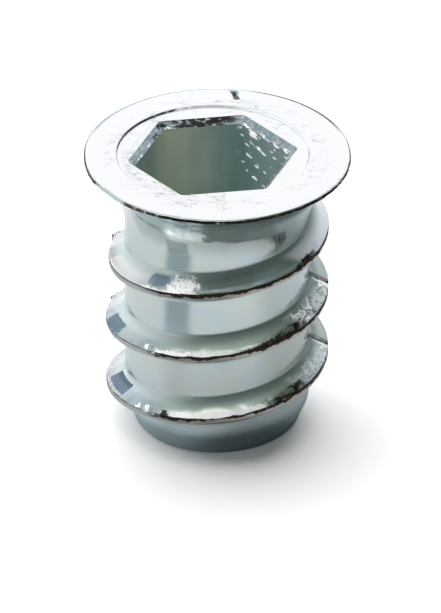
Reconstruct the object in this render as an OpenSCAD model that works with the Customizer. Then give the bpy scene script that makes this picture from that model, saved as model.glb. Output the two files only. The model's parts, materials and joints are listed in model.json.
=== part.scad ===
// Threaded insert for wood: one zinc die casting with a coarse outer thread,
// a thin flange, a hexagon drive socket and a tapped bore.
// Millimetres. +Z runs along the axis from the nose to the flange, and the
// origin is the centre of the nose face. The two die halves part on the plane
// Y = 0 and draw apart along Y.

/* [Body] */
// Length from the nose face to the top of the flange
length = 18; // [15:0.1:24]
// Diameter of the plain body between the thread ridges
core_d = 11.1; // [10.6:0.1:12.4]
// Diameter of the nose face
nose_d = 10.1; // [9:0.1:10.4]
// Height of the taper from the nose face to the plain body
nose_h = 1.5; // [0.6:0.1:2.4]
// Radius of the edge of the nose face
nose_edge_r = 0.3; // [0.1:0.05:0.5]

/* [Flange] */
// Diameter of the flange
flange_d = 16; // [14.6:0.1:20]
// Thickness of the flange at its rim
rim_t = 0.24; // [0.2:0.02:0.6]
// Width of the bevel on the two edges of the rim
rim_bevel = 0.08; // [0.02:0.01:0.1]
// Slope of the underside of the flange, in degrees from level
underside_slope = 38; // [25:1:50]
// Radius of the hollow neck between the flange and the body
neck_r = 4.9; // [1.5:0.1:5]
// Diameter of the shallow recess round the socket
recess_d = 11.5; // [10.8:0.1:12.6]
// Depth of that recess
recess_depth = 0.1; // [0.05:0.01:0.2]

/* [Socket] */
// Width across the flats of the hexagon key
key_af = 8; // [6:1:8]
// Room round the key, across the flats
key_room = 0.1; // [0.05:0.01:0.2]
// Depth of the hexagon socket from the top of the flange
socket_depth = 6; // [3:0.1:7]
// Width of the bevel round the mouth of the socket
mouth_w = 0.42; // [0.1:0.02:0.5]
// Depth of the bevel round the mouth of the socket
mouth_h = 0.35; // [0.1:0.05:0.6]
// Angle by which the socket is turned about the axis
socket_turn = 8.8; // [0:0.1:60]
// Distance by which the socket and its recess stand off the axis
socket_shift = 0.25; // [0:0.01:0.3]

/* [Bore] */
// Diameter of the bore, before the fine thread is tapped in it
bore_d = 6.8; // [5:0.1:6.8]
// Outer diameter of the tapped thread
tap_d = 8; // [7:0.1:8]
// Slope of the cone between the socket and the bore, in degrees from level
floor_slope = 30; // [20:1:45]

/* [Outer thread] */
// Diameter over the crest of the ridge
thread_d = 13.4; // [12.6:0.1:14.4]
// Rise of the ridge in one turn
pitch = 4.3; // [3.6:0.1:5]
// Width of the flat crest
crest_w = 0.44; // [0.2:0.02:0.8]
// Slope of the flanks of the ridge, in degrees from level
flank_slope = 27.5; // [20:0.5:35]
// Height of the crest at the front, on the lowest turn
first_z = 3.46; // [3.2:0.02:4]
// Angle at which the ridge starts to grow, from +X
start_angle = 75; // [60:5:120]
// Turns from there to where the ridge is gone
turns = 3.1; // [2.4:0.1:3.2]
// Angle over which the ridge grows and fades
fade_angle = 75; // [40:5:110]
// Draft that the die halves need to leave the flanks, in degrees
draw_draft = 4; // [1:0.5:5]
// Angle past which the upper flank runs into the neck and needs no draw relief
neck_angle = 1000; // [900:10:1080]
// Sections of the ridge in one half turn
half_turn_sections = 30; // [18:2:40]

/* [Hidden] */
core_r = core_d / 2;
nose_r = nose_d / 2;
flange_r = flange_d / 2;
thread_r = thread_d / 2;
// Room for a cutting body to run past the face that it cuts
past = 1;
// Steps in an arc of a turned profile
arc_steps = 10;
// The cone under the flange ends where the neck takes over its slope
neck_top_r = core_r + neck_r * (1 - sin(underside_slope));
neck_top_z = length - rim_t - (flange_r - neck_top_r) * tan(underside_slope);
neck_z = neck_top_z - neck_r * cos(underside_slope);
// Socket and recess
socket_af = key_af + key_room;
socket_floor_z = length - socket_depth;
recess_z = length - recess_depth;
// Ridge
front_angle = 270;
rise = pitch / 360;
flank = tan(flank_slope);
draft = tan(draw_draft);
// Depth to which the root of the ridge is buried in the body
embed = 0.3;
root_r = core_r - embed;
// The step at a parting line leans by this angle
step_angle = 0.4;

// Circle radius of a hexagon of a given width across flats
function hex_r(af) = af / sqrt(3);

// Points of a circular arc
function arc(cx, cz, r, a0, a1) =
    [for (i = [0 : arc_steps]) let (a = a0 + (a1 - a0) * i / arc_steps)
        [cx + r * cos(a), cz + r * sin(a)]];

// Height of the middle of the crest
function ridge_z(a) = first_z + (a - front_angle) * rise;

// Smooth step from 0 to 1
function ease(t) = let (s = max(0, min(1, t))) s * s * (3 - 2 * s);

// How much of its full height the ridge has, from 0 to 1
function grown(a) = ease(min(a - start_angle, start_angle + 360 * turns - a) / fade_angle);

// How much draw relief the upper flank has, from 0 to 1
function relieved(a) = grown(a) * ease(1 - (a - neck_angle) / fade_angle);

function crest_r(a) = root_r + embed / 2 + (thread_r - root_r - embed / 2) * grown(a);

// Height that a flank gains over its screw form where a die half would
// otherwise lock on it, r from the axis and d degrees past the parting plane
function draw_lift(r, d) =
    let (
        x = r * cos(d),
        y = r * sin(d),
        reach = asin(min(0.9, (rise * 180 / PI / x + draft) / flank)),
        edge_y = x * tan(reach),
        edge_z = rise * reach - flank * x / cos(reach) + draft * (edge_y - y)
    )
    d < reach ? max(0, edge_z - (rise * d - flank * r)) : 0;

// Offset of a flank from the middle of the crest at radius r
function flank_z(a, r) = crest_w / 2 + (crest_r(a) - r) * flank;

// One section of the ridge at angle a, d degrees past a parting plane:
// up its lower flank, over the crest and back down its upper flank
function section(a, d) =
    let (
        radii = [root_r, (root_r + crest_r(a)) / 2, crest_r(a)],
        lower = [for (r = radii) [r, ridge_z(a) - flank_z(a, r) - grown(a) * draw_lift(r, 180 - d)]],
        upper = [for (i = [2 : -1 : 0]) let (r = radii[i])
            [r, ridge_z(a) + flank_z(a, r) + relieved(a) * draw_lift(r, d)]]
    )
    [for (p = concat(lower, upper)) [p[0] * cos(a), p[0] * sin(a), p[1]]];

// Angles of the sections, with a pair for the step at each parting plane
function ridge_stations() =
    [for (half = [0 : floor((start_angle + 360 * turns) / 180)])
        for (i = [0 : half_turn_sections])
            let (
                d = min(i * 180 / half_turn_sections, 180 - step_angle),
                a = half * 180 + d
            )
            if (a >= start_angle && a <= start_angle + 360 * turns) [a, d]];

module ridge() {
    stations = ridge_stations();
    points = [for (s = stations) each section(s[0], s[1])];
    side = 6;
    last = len(stations) - 1;
    faces = concat(
        [[for (j = [side - 1 : -1 : 0]) j]],
        [for (i = [0 : last - 1]) for (j = [0 : side - 1])
            let (k = (j + 1) % side, p = i * side, q = p + side)
            each [[p + j, q + k, q + j], [p + j, p + k, q + k]]],
        [[for (j = [0 : side - 1]) last * side + j]]
    );
    polyhedron(points = points, faces = faces, convexity = 10);
}

// The turned outside: nose, body, neck and flange
module outside() {
    rotate_extrude($fn = 96)
        polygon(concat(
            [[0, 0]],
            arc(nose_r - nose_edge_r, nose_edge_r, nose_edge_r, -90, 0),
            [[core_r, nose_h]],
            arc(core_r + neck_r, neck_z, neck_r, 180, 90 + underside_slope),
            [
                [flange_r - rim_bevel, length - rim_t],
                [flange_r, length - rim_t + rim_bevel],
                [flange_r, length - rim_bevel],
                [flange_r - rim_bevel, length],
                [0, length]
            ]
        ));
}

module recess() {
    translate([0, 0, recess_z])
        cylinder(h = recess_depth + past, d = recess_d, $fn = 96);
}

// The hexagon socket with a bevelled mouth
module socket() {
    translate([0, 0, socket_floor_z])
        cylinder(h = socket_depth + past, r = hex_r(socket_af), $fn = 6);
    mouth_r = hex_r(socket_af + 2 * mouth_w);
    grow = (mouth_r - hex_r(socket_af)) / mouth_h;
    translate([0, 0, recess_z - mouth_h])
        cylinder(h = mouth_h + past, r1 = hex_r(socket_af), r2 = mouth_r + grow * past, $fn = 6);
}

// The bore with a cone at each end, down from the socket and in from the nose
module bore() {
    bore_r = bore_d / 2;
    lead_r = tap_d / 2;
    floor_r = socket_af / 2 - socket_shift;
    floor_h = (floor_r - bore_r) * tan(floor_slope);
    lead_h = (lead_r - bore_r) * tan(floor_slope + 15);
    translate([0, 0, -past])
        cylinder(h = length, r = bore_r, $fn = 72);
    translate([0, 0, socket_floor_z - floor_h])
        cylinder(h = floor_h, r1 = bore_r, r2 = floor_r, $fn = 72);
    translate([0, 0, -past])
        cylinder(h = past, r = lead_r, $fn = 72);
    cylinder(h = lead_h, r1 = lead_r, r2 = bore_r, $fn = 72);
}

module insert() {
    color("lightsteelblue")
        difference() {
            union() {
                outside();
                ridge();
            }
            translate([-socket_shift, 0, 0])
                rotate([0, 0, socket_turn]) {
                    recess();
                    socket();
                }
            bore();
        }
}

insert();
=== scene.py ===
"""Looks of a die cast threaded insert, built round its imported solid.

The insert is one casting: a plain body with a coarse outer ridge, a thin
flange, a hexagon drive socket with a bevelled mouth and a tapped bore. Each
of those is a class that models its own sheet of metal. The casting class
joins the sheets, adds the marks that casting and trimming leave, and gives
the whole its finish. Lengths are metres and +Z runs from the nose to the
flange. The two die halves part on the plane Y = 0.
"""

from __future__ import annotations

import json
import logging
import math
from contextlib import contextmanager
from dataclasses import dataclass
from functools import reduce
from operator import add, mul
from typing import Any, Callable, Iterator, Sequence

import bmesh
import bpy
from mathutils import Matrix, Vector, noise

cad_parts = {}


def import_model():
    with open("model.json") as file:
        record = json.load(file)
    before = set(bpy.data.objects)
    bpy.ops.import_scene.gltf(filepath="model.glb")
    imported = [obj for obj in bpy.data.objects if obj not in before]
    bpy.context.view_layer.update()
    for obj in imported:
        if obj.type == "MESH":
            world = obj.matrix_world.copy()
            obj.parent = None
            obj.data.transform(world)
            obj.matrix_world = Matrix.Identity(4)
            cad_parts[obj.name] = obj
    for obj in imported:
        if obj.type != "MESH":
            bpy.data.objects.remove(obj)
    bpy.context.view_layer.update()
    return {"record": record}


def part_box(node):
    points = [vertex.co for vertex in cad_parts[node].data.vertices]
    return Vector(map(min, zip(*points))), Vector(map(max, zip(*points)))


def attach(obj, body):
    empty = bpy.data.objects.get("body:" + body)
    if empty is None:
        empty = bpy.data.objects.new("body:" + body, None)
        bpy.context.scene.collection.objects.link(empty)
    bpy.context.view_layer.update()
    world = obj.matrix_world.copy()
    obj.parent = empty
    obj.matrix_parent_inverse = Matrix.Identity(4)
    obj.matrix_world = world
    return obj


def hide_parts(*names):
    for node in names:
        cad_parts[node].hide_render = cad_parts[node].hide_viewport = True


LOG = logging.getLogger("insert")
MM = 0.001
FRONT = 270.0
PER_RADIAN = 180.0 / math.pi
Colour = tuple[float, float, float, float]
Ring = tuple[float, float]


# ---------------------------------------------------------------- helpers


def smooth(t: float) -> float:
    """Smooth step of t, held between 0 and 1."""
    t = max(0.0, min(1.0, t))
    return t * t * (3.0 - 2.0 * t)


def positive(x: float, blend: float) -> float:
    """Positive part of x with a rounded corner.

    Args:
        x: The value.
        blend: Half the width over which the corner is rounded.

    Returns:
        Zero well below zero, x well above it.
    """
    if x <= -blend:
        return 0.0
    if x >= blend:
        return x
    return (x + blend) ** 2 / (4.0 * blend)


def turn_gap(a: float, b: float) -> float:
    """Signed angle in degrees from b to a, between -180 and 180."""
    return (a - b + 180.0) % 360.0 - 180.0


def arc(cx: float, cz: float, r: float, start: float, end: float, steps: int) -> list[Ring]:
    """Points of a circular arc in the plane of a turned profile.

    Args:
        cx: Distance of the arc's centre from the axis.
        cz: Height of the arc's centre.
        r: Radius of the arc.
        start: First angle in degrees.
        end: Last angle in degrees.
        steps: Number of steps.

    Returns:
        Radius and height of each point.
    """
    angles = [math.radians(start + (end - start) * i / steps) for i in range(steps + 1)]
    return [(cx + r * math.cos(t), cz + r * math.sin(t)) for t in angles]


def pick(obj: bpy.types.Object) -> bpy.types.Object:
    """Selects one object alone and makes it the active one."""
    bpy.ops.object.select_all(action="DESELECT")
    obj.select_set(True)
    bpy.context.view_layer.objects.active = obj
    return obj


@contextmanager
def editing(obj: bpy.types.Object, mode: str = "EDGE") -> Iterator[bpy.types.Mesh]:
    """Edits a mesh with nothing selected at the start.

    Args:
        obj: The object to edit.
        mode: What is selected: VERT, EDGE or FACE.

    Yields:
        The object's mesh.
    """
    pick(obj)
    bpy.ops.object.mode_set(mode="EDIT")
    bpy.ops.mesh.select_mode(type=mode)
    bpy.ops.mesh.select_all(action="DESELECT")
    try:
        yield obj.data
    finally:
        bpy.ops.object.mode_set(mode="OBJECT")


def select_rim(mesh: bpy.types.Mesh, test: Callable[[Vector], bool]) -> int:
    """Selects the open edges whose middle passes a test.

    Args:
        mesh: The mesh in edit mode.
        test: Takes the middle of an edge.

    Returns:
        How many edges were selected.
    """
    bm = bmesh.from_edit_mesh(mesh)
    count = 0
    for edge in bm.edges:
        if edge.is_boundary or edge.is_wire:
            if test((edge.verts[0].co + edge.verts[1].co) / 2.0):
                edge.select_set(True)
                count += 1
    bmesh.update_edit_mesh(mesh, loop_triangles=False, destructive=False)
    return count


def pull_ring(start: Ring, end: Ring, centre: float = 0.0) -> None:
    """Extrudes the selected ring of edges to another radius and height.

    Args:
        start: Radius and height of the selected ring.
        end: Radius and height of the new ring.
        centre: X of the ring's centre.
    """
    bpy.ops.mesh.extrude_region_move(
        TRANSFORM_OT_translate={"value": (0.0, 0.0, end[1] - start[1])}
    )
    ratio = end[0] / start[0]
    bpy.ops.transform.resize(value=(ratio, ratio, 1.0), center_override=(centre, 0.0, 0.0))


def pull_rings(rings: Sequence[Ring], centre: float = 0.0) -> None:
    """Extrudes the selected ring, which stands at the first entry, through the others."""
    for start, end in zip(rings, rings[1:]):
        pull_ring(start, end, centre)


def screw_sheet(name: str, radius: float, offsets: Sequence[float], low: float, pitch: float,
                steps: int, turns: int, start_side: float) -> bpy.types.Object:
    """Winds a straight upright profile round the axis into a helical sheet.

    Args:
        name: Name of the new object.
        radius: Distance of the profile from the axis.
        offsets: Heights of the profile's points, counted from the middle.
        low: Height of the middle of the profile at the start.
        pitch: Rise in one turn.
        steps: Steps in one turn.
        turns: Number of turns.
        start_side: -1 to start on the -X side, 1 on the +X side.

    Returns:
        The sheet, with its turns joined to each other.
    """
    bpy.ops.object.select_all(action="DESELECT")
    bpy.ops.mesh.primitive_plane_add(size=MM, location=(0.0, 0.0, 0.0))
    obj = bpy.context.object
    obj.name = obj.data.name = name
    with editing(obj, "VERT"):
        bpy.ops.mesh.select_all(action="SELECT")
        bpy.ops.mesh.merge(type="CENTER")
        bpy.ops.transform.translate(value=(start_side * radius, 0.0, low + offsets[0]))
        for before, after in zip(offsets, offsets[1:]):
            bpy.ops.mesh.extrude_region_move(
                TRANSFORM_OT_translate={"value": (0.0, 0.0, after - before)}
            )
    screw = obj.modifiers.new("wind", "SCREW")
    screw.axis = "Z"
    screw.angle = math.tau
    screw.screw_offset = pitch
    screw.steps = screw.render_steps = steps
    screw.iterations = turns
    screw.use_merge_vertices = False
    pick(obj)
    bpy.ops.object.modifier_apply(modifier=screw.name)
    with editing(obj, "VERT"):
        bpy.ops.mesh.select_all(action="SELECT")
        bpy.ops.mesh.remove_doubles(threshold=0.002 * MM)
    return obj


def cut_level(obj: bpy.types.Object, height: float, keep_above: bool) -> None:
    """Cuts a sheet on a level plane and keeps one side of it.

    Args:
        obj: The sheet.
        height: Height of the plane.
        keep_above: True keeps what is above the plane, False what is below.
    """
    with editing(obj, "VERT"):
        bpy.ops.mesh.select_all(action="SELECT")
        bpy.ops.mesh.bisect(
            plane_co=(0.0, 0.0, height), plane_no=(0.0, 0.0, 1.0), use_fill=False,
            clear_inner=keep_above, clear_outer=not keep_above, threshold=0.0005 * MM,
        )
    with editing(obj, "VERT") as mesh:
        bm = bmesh.from_edit_mesh(mesh)
        for vert in bm.verts:
            vert.select_set(abs(vert.co.z - height) < 0.001 * MM)
        bm.select_flush_mode()
        bmesh.update_edit_mesh(mesh)
        bpy.ops.mesh.remove_doubles(threshold=0.02 * MM)


# ----------------------------------------------------------- shader maths


class Sock:
    """One number of a node tree, with Python's operators."""

    def __init__(self, graph: "Graph", link: Any) -> None:
        """Wraps an output socket, or a plain number."""
        self.graph = graph
        self.link = link

    def join(self, operation: str, *others: Any, first: Any = None) -> "Sock":
        """Makes a Math node of this value and others.

        Args:
            operation: The Math node's operation.
            others: The other values, numbers or Socks.
            first: A value that goes before this one, for reflected operators.

        Returns:
            The node's value.
        """
        values = [self, *others] if first is None else [first, self]
        inputs = {i: v for i, v in enumerate(values)}
        node = self.graph.node("ShaderNodeMath", {"operation": operation}, inputs)
        return Sock(self.graph, node.outputs[0])

    def __add__(self, other: Any) -> "Sock":
        """Sum."""
        return self.join("ADD", other)

    __radd__ = __add__

    def __sub__(self, other: Any) -> "Sock":
        """Difference."""
        return self.join("SUBTRACT", other)

    def __rsub__(self, other: Any) -> "Sock":
        """Reflected difference."""
        return self.join("SUBTRACT", first=other)

    def __mul__(self, other: Any) -> "Sock":
        """Product."""
        return self.join("MULTIPLY", other)

    __rmul__ = __mul__

    def __truediv__(self, other: Any) -> "Sock":
        """Quotient."""
        return self.join("DIVIDE", other)

    def __rtruediv__(self, other: Any) -> "Sock":
        """Reflected quotient."""
        return self.join("DIVIDE", first=other)

    def __pow__(self, other: Any) -> "Sock":
        """Power."""
        return self.join("POWER", other)

    def __abs__(self) -> "Sock":
        """Size without sign."""
        return self.join("ABSOLUTE")


class Graph:
    """A node tree that is built by calls."""

    def __init__(self, tree: bpy.types.NodeTree, owner: Any, clear: bool = False) -> None:
        """Takes a tree, and empties it if asked."""
        self.tree = tree
        self.owner = owner
        if clear:
            tree.nodes.clear()

    @classmethod
    def for_material(cls, name: str, clear: bool = False) -> "Graph":
        """Makes a material and returns the graph of its nodes."""
        mat = bpy.data.materials.new(name)
        mat.use_nodes = True
        return cls(mat.node_tree, mat, clear)

    def node(self, kind: str, settings: dict[str, Any] | None = None,
             inputs: dict[Any, Any] | None = None) -> bpy.types.Node:
        """Adds one node.

        Args:
            kind: The node's type.
            settings: Its settings; "stops" is a list of a ramp's positions and colours.
            inputs: Values, sockets or Socks by the input's name or number.

        Returns:
            The node.
        """
        made = self.tree.nodes.new(kind)
        for key, value in (settings or {}).items():
            if key == "stops":
                ramp = made.color_ramp
                while len(ramp.elements) < len(value):
                    ramp.elements.new(0.5)
                for element, (place, colour) in zip(ramp.elements, value):
                    element.position = place
                    element.color = colour
            else:
                setattr(made, key, value)
        for key, value in (inputs or {}).items():
            if isinstance(value, Sock):
                value = value.link
            if isinstance(value, bpy.types.NodeSocket):
                self.tree.links.new(value, made.inputs[key])
            else:
                made.inputs[key].default_value = value
        return made

    def sock(self, node: bpy.types.Node, output: Any = 0) -> Sock:
        """Wraps a node's output."""
        return Sock(self, node.outputs[output])

    def clamped(self, value: Sock) -> Sock:
        """Holds a value between 0 and 1."""
        node = self.node("ShaderNodeClamp", inputs={0: value})
        return self.sock(node)

    def step(self, value: Any, low: float, high: float) -> Sock:
        """Rises smoothly from 0 at low to 1 at high."""
        node = self.node(
            "ShaderNodeMapRange", {"interpolation_type": "SMOOTHSTEP"},
            {"Value": value, "From Min": low, "From Max": high},
        )
        return self.sock(node)

    def window(self, value: Any, low: float, high: float, soft: float) -> Sock:
        """Is 1 between low and high and 0 outside, with soft edges."""
        rise = self.step(value, low - soft, low + soft)
        return rise * (1 - self.step(value, high - soft, high + soft))

    def vector(self, x: Any, y: Any, z: Any) -> Sock:
        """Joins three numbers into a vector."""
        return self.sock(self.node("ShaderNodeCombineXYZ", inputs={0: x, 1: y, 2: z}))

    def noise(self, place: Any, scale: float, detail: float = 2.0, rough: float = 0.5) -> Sock:
        """Soft noise at a place, from about 0 to 1.

        Args:
            place: The place.
            scale: Lumps in one unit of length.
            detail: Number of finer layers.
            rough: Strength of the finer layers.

        Returns:
            The noise.
        """
        node = self.node(
            "ShaderNodeTexNoise",
            inputs={"Vector": place, "Scale": scale, "Detail": detail, "Roughness": rough},
        )
        return self.sock(node)

    def mix(self, share: Any, first: Any, second: Any) -> bpy.types.NodeSocket:
        """Mixes two colours, and returns the colour's socket."""
        node = self.node(
            "ShaderNodeMix", {"data_type": "RGBA"}, {0: share, 6: first, 7: second}
        )
        return node.outputs[2]


# ------------------------------------------------------------------ sizes


@dataclass(frozen=True)
class InsertSizes:
    """Sizes of the plain forms of the casting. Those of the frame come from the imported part."""

    length: float
    flange_r: float
    socket_x: float
    bore_r: float
    bore_high: float
    core_r: float = 5.55 * MM
    nose_r: float = 5.05 * MM
    nose_h: float = 1.5 * MM
    nose_edge: float = 0.3 * MM
    nose_blend: float = 0.2 * MM
    rim_t: float = 0.24 * MM
    rim_round: float = 0.15 * MM
    rim_under: float = 0.06 * MM
    underside_deg: float = 38.0
    neck_r: float = 4.9 * MM
    recess_r: float = 5.75 * MM
    recess_depth: float = 0.1 * MM

    @classmethod
    def from_frame(cls, record: dict[str, Any]) -> "InsertSizes":
        """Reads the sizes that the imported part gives.

        Args:
            record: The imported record.

        Returns:
            The sizes.
        """
        low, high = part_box("insert")
        mounts = {m["name"]: m for m in record["mounts"]}
        bore = mounts["bolt_thread"]
        return cls(
            length=high.z - low.z,
            flange_r=max(high.x, high.y),
            socket_x=mounts["key_socket"]["pos_m"][0],
            bore_r=bore["dims"]["r_mm"] * MM,
            bore_high=0.6 * MM + bore["dims"]["length_mm"] * MM,
        )

    @property
    def neck_top_r(self) -> float:
        """Radius at which the hollow neck meets the cone under the flange."""
        return self.core_r + self.neck_r * (1.0 - math.sin(math.radians(self.underside_deg)))

    @property
    def neck_top_z(self) -> float:
        """Height at which the hollow neck meets the cone under the flange."""
        run = self.flange_r - self.neck_top_r
        return self.length - self.rim_t - run * math.tan(math.radians(self.underside_deg))

    @property
    def neck_z(self) -> float:
        """Height at which the hollow neck starts."""
        return self.neck_top_z - self.neck_r * math.cos(math.radians(self.underside_deg))

    def body_radius(self, z: float) -> float:
        """Radius of the plain body at a height between the nose and the cone."""
        if z > self.neck_z:
            rise = min(z, self.neck_top_z) - self.neck_z
            return self.core_r + self.neck_r - math.sqrt(self.neck_r**2 - rise**2)
        slope = (self.core_r - self.nose_r) / (self.nose_h - self.nose_edge)
        return self.core_r - slope * positive(self.nose_h - z, self.nose_blend)


# ------------------------------------------------------------ outer thread


@dataclass(frozen=True)
class OuterThread:
    """The coarse ridge that cuts into wood, on the plain body.

    The ridge has the draft that lets the die halves draw apart along Y, so
    its flanks lift off the screw form next to each parting plane and step
    back at it.
    """

    sizes: InsertSizes
    crest_r: float = 6.7 * MM
    pitch: float = 4.3 * MM
    crest_w: float = 0.44 * MM
    flank_deg: float = 27.5
    first_z: float = 3.46 * MM
    start_deg: float = 75.0
    turns: float = 3.1
    fade_deg: float = 75.0
    draft_deg: float = 4.0
    neck_deg: float = 1000.0
    step_deg: float = 0.35
    root: float = 0.15 * MM
    crest_round: float = 0.05 * MM
    foot_round: float = 0.4 * MM
    lip: float = 0.07 * MM
    lip_w: float = 0.016 * MM
    burr_rise: float = 0.206
    steps: int = 300
    spikes: tuple[tuple[float, float, float], ...] = (
        (878.5, 0.36, 2.0), (874.6, 0.24, 1.6), (882.0, 0.14, 1.8),
        (519.0, 0.26, 2.0), (515.0, 0.14, 1.6), (160.5, 0.08, 2.0),
    )
    low_cut: float = 0.35 * MM
    high_cut: float = 15.3 * MM

    @property
    def rise(self) -> float:
        """Rise of the ridge in one degree."""
        return self.pitch / 360.0

    @property
    def flank(self) -> float:
        """Height that a flank gains for each unit of radius."""
        return math.tan(math.radians(self.flank_deg))

    @property
    def foot(self) -> float:
        """Distance from the middle of a full ridge to its foot."""
        return self.crest_w / 2.0 + (self.crest_r - self.sizes.core_r) * self.flank

    def middle(self, a: float) -> float:
        """Height of the middle of the crest at a continuing angle."""
        return self.first_z + (a - FRONT) * self.rise

    def grown(self, a: float) -> float:
        """Share of its full height that the ridge has at a continuing angle."""
        end = self.start_deg + 360.0 * self.turns
        return smooth(min(a - self.start_deg, end - a) / self.fade_deg)

    def top(self, a: float) -> float:
        """Radius of the crest at a continuing angle."""
        base = self.sizes.core_r - self.root
        trimmed = 0.2 * MM * smooth(1.0 - abs(a - 893.0) / 52.0)
        buried = self.sizes.nose_h / 2.0 * smooth((self.start_deg - a) / 30.0)
        return base + (self.crest_r - base) * self.grown(a) - trimmed - buried

    def lip_depth(self, a: float, out: float) -> float:
        """Depth of the groove behind the lip of the crest, where the finish paints a highlight.

        Args:
            a: Continuing angle.
            out: Distance past the edge of the crest, towards the foot.

        Returns:
            How far the groove lies under the plain flank.
        """
        if out <= 0.0:
            return 0.0
        share = smooth(out / self.lip_w) * (1.0 - smooth((out - self.lip_w) / (0.16 * MM)))
        wander = 0.5 + 0.5 * noise.noise(Vector((a * 0.11, 3.1, 0.7)))
        return self.lip * share * (0.35 + 0.65 * wander)

    def burr(self, a: float) -> float:
        """Width of the flattened burr along the upper edge of the crest.

        It is widest at the front of each turn, where the two die halves press
        the flash out, and almost gone at the sides.
        """
        front = math.cos(math.radians(a - FRONT + 14.0))
        turn = round((a - FRONT) / 360.0)
        gain = (0.6, 0.46, 0.2)[max(0, min(2, turn))]
        ragged = noise.noise(Vector((a * 0.16, 1.7, turn * 3.0)))
        fine = noise.noise(Vector((a * 0.55, 5.2, turn * 3.0)))
        width = gain * smooth(front * 1.5 - 0.1) * (0.75 + 0.7 * ragged + 0.45 * fine)
        return max(0.0, width) * MM

    def tear(self, a: float) -> float:
        """Depth of the tears along the crest at a continuing angle."""
        rough = noise.noise(Vector((a * 0.7, 8.4, 2.0)))
        rough = rough + 0.6 * noise.noise(Vector((a * 2.1, 2.9, 6.0)))
        return 0.035 * MM * rough

    def spike(self, a: float) -> float:
        """Height of the burrs of the parting line at the left of each turn."""
        total = 0.0
        for at, tall, wide in self.spikes:
            total += tall * max(0.0, 1.0 - abs(a - at) / wide)
        return total * MM

    def draw_lift(self, r: float, past: float) -> float:
        """Height that a flank gains so that a die half can draw off it.

        Args:
            r: Distance from the axis.
            past: Degrees past the parting plane.

        Returns:
            The height over the screw form.
        """
        angle = math.radians(past)
        draft = math.tan(math.radians(self.draft_deg))
        x = r * math.cos(angle)
        if x <= 0.0:
            return 0.0
        per_radian = self.rise * 180.0 / math.pi
        reach = math.asin(min(0.9, (per_radian / x + draft) / self.flank))
        if angle >= reach:
            return 0.0
        edge_y = x * math.tan(reach)
        edge_z = per_radian * reach - self.flank * x / math.cos(reach)
        edge_z += draft * (edge_y - r * math.sin(angle))
        return max(0.0, edge_z - (per_radian * angle - self.flank * r))

    def offsets(self) -> list[float]:
        """Heights of the profile's points over one pitch, close together at edges and feet."""
        half = [0.08, 0.14, 0.175, 0.195, 0.21, 0.222, 0.23, 0.238, 0.25, 0.27, 0.3, 0.34,
                0.39, 0.48, 0.57, 0.64, 0.7, 0.76, 0.82, 0.88, 0.95, 1.04, 1.18, 1.38, 1.62, 1.88]
        up = [h * MM for h in half]
        return [-self.pitch / 2.0, *[-h for h in reversed(up)], 0.0, *up, self.pitch / 2.0]

    def place(self, point: Vector) -> Vector:
        """Moves a point of the plain helical sheet onto the body or the ridge.

        Args:
            point: A point of the sheet.

        Returns:
            The point on the finished form.
        """
        sizes = self.sizes
        theta = math.degrees(math.atan2(point.y, point.x)) % 360.0
        turn = round((point.z - self.middle(theta)) / self.pitch)
        a = theta + 360.0 * turn
        w = point.z - self.middle(a)
        past = a % 180.0
        unit = 360.0 / self.steps
        if abs(past - (180.0 - unit)) < 0.1 * unit:
            shift = unit - self.step_deg
            a, past = a + shift, past + shift
        grown, top = self.grown(a), self.top(a)
        share = max(0.0, top - sizes.core_r) / (self.crest_r - sizes.core_r)
        half = self.crest_w / 2.0
        side, away = math.copysign(1.0, w), abs(w)
        foot, new_foot = self.foot, half + (self.foot - half) * share
        if away > foot:
            span = self.pitch / 2.0
            away = new_foot + (away - foot) * (span - new_foot) / (span - foot)
        elif away > half:
            away = half + (away - half) * share
        ridge_r = top - positive(away - half, self.crest_round) / self.flank
        ridge_r -= self.lip_depth(a, away - half) * share
        torn = smooth(1.0 - abs(away - half) / (0.16 * MM)) if w > 0.0 else 0.4
        if away < half + 0.12 * MM:
            ridge_r += (self.tear(a) * torn + self.spike(a)) * share
        if w > 0.0:
            # the burr leans the upper edge of the crest back at a steeper slope
            burr = self.burr(a) * share
            cap = top - (away - half + burr * self.burr_rise) / math.tan(math.radians(36.0))
            ridge_r = min(ridge_r, cap + 0.02 * MM) if burr > 0.02 * MM else ridge_r
        lift_r = max(sizes.core_r, min(self.crest_r, ridge_r))
        lift = grown * self.draw_lift(lift_r, past if w > 0.0 else 180.0 - past)
        if w > 0.0:
            lift *= smooth(1.0 - (a - self.neck_deg) / self.fade_deg)
        if away > new_foot:
            lift *= 1.0 - (away - new_foot) / (self.pitch / 2.0 - new_foot)
        z = self.middle(a) + side * (away + lift)
        body_r = sizes.body_radius(z)
        gap = abs(body_r - ridge_r)
        r = max(body_r, ridge_r)
        if gap < self.foot_round:
            r += (self.foot_round - gap) ** 2 / (4.0 * self.foot_round)
        angle = math.radians(a)
        return Vector((r * math.cos(angle), r * math.sin(angle), z))

    def build(self) -> bpy.types.Object:
        """Models the body between the nose edge and the flange with its ridge."""
        obj = screw_sheet(
            "body_sheet", self.sizes.core_r, self.offsets(), self.middle(-180.0),
            self.pitch, self.steps, 5, -1.0,
        )
        for vert in obj.data.vertices:
            vert.co = self.place(vert.co)
        cut_level(obj, self.low_cut, keep_above=True)
        cut_level(obj, self.high_cut, keep_above=False)
        LOG.info("outer thread: %d faces", len(obj.data.polygons))
        return obj


# ------------------------------------------------------- flange and nose


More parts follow.
